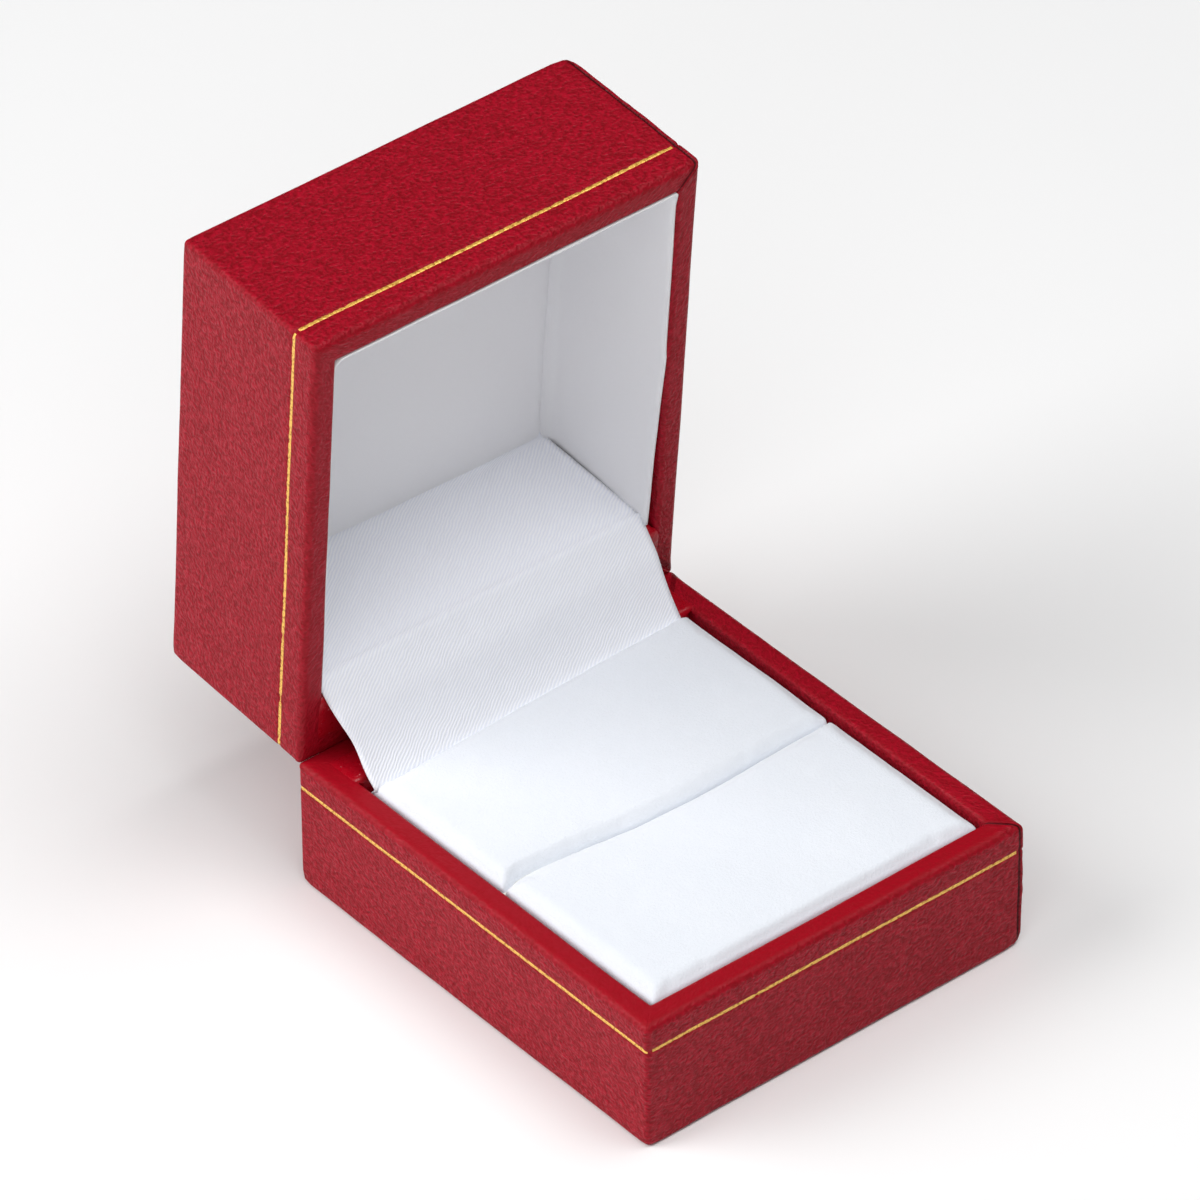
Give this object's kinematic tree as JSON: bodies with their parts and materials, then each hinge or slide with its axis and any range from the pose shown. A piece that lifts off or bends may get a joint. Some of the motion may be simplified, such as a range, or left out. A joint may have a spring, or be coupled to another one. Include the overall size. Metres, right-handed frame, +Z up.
{
  "type": "hinged ring box",
  "caption": "Leatherette-covered ring box with a snap-hinged lid, a slotted velvet ring pad, a satin-lined lid and a satin flap over the hinge.",
  "frame": {"origin": "centre of the underside of the base, on the surface that the box stands on", "axes": "+Z up; the box opens to the front at -Y; the hinge runs along X at the back; +X is to the right as seen from the front"},
  "size_m": [0.054, 0.083, 0.0786],
  "materials": {
    "leatherette": "satin",
    "smooth_red_paper": "satin",
    "gold_foil": "gloss",
    "white_satin": "satin",
    "white_velvet": "matte",
    "grey_board": "matte",
    "white_card": "matte",
    "foam": "matte",
    "plated_steel": "satin",
    "spring_steel": "satin"
  },
  "bodies": {
    "base": {"base_wrap": "leatherette", "base_shell": "grey_board", "base_underside": "smooth_red_paper", "base_gold_line": "gold_foil", "base_hinge_rail": "smooth_red_paper", "pad_card": "white_card", "pad_foam_front": "foam", "pad_foam_rear": "foam", "pad_velvet": "white_velvet", "base_hinge_leaf": "plated_steel", "base_hinge_tack_1": "plated_steel", "base_hinge_tack_2": "plated_steel", "base_hinge_tack_3": "plated_steel", "base_hinge_tack_4": "plated_steel", "hinge_pin": "plated_steel", "hinge_spring": "spring_steel", "hinge_flap": "white_satin"},
    "lid": {"lid_wrap": "leatherette", "lid_shell": "grey_board", "lid_gold_line": "gold_foil", "lid_hinge_rail": "smooth_red_paper", "lid_liner_walls": "white_satin", "lid_liner_rear": "white_satin", "lid_puff_foam": "foam", "lid_puff_satin": "white_satin", "lid_hinge_leaf": "plated_steel", "lid_hinge_tack_1": "plated_steel", "lid_hinge_tack_2": "plated_steel", "lid_hinge_tack_3": "plated_steel", "lid_hinge_tack_4": "plated_steel"}
  },
  "joints": [
    {"name": "lid_hinge", "type": "hinge", "parent": "base", "child": "lid", "pos_m": [0, 0.02955, 0.01715], "axis": [1, 0, 0], "range_deg": [0, 85], "deforming": ["hinge_flap", "hinge_spring"]}
  ]
}
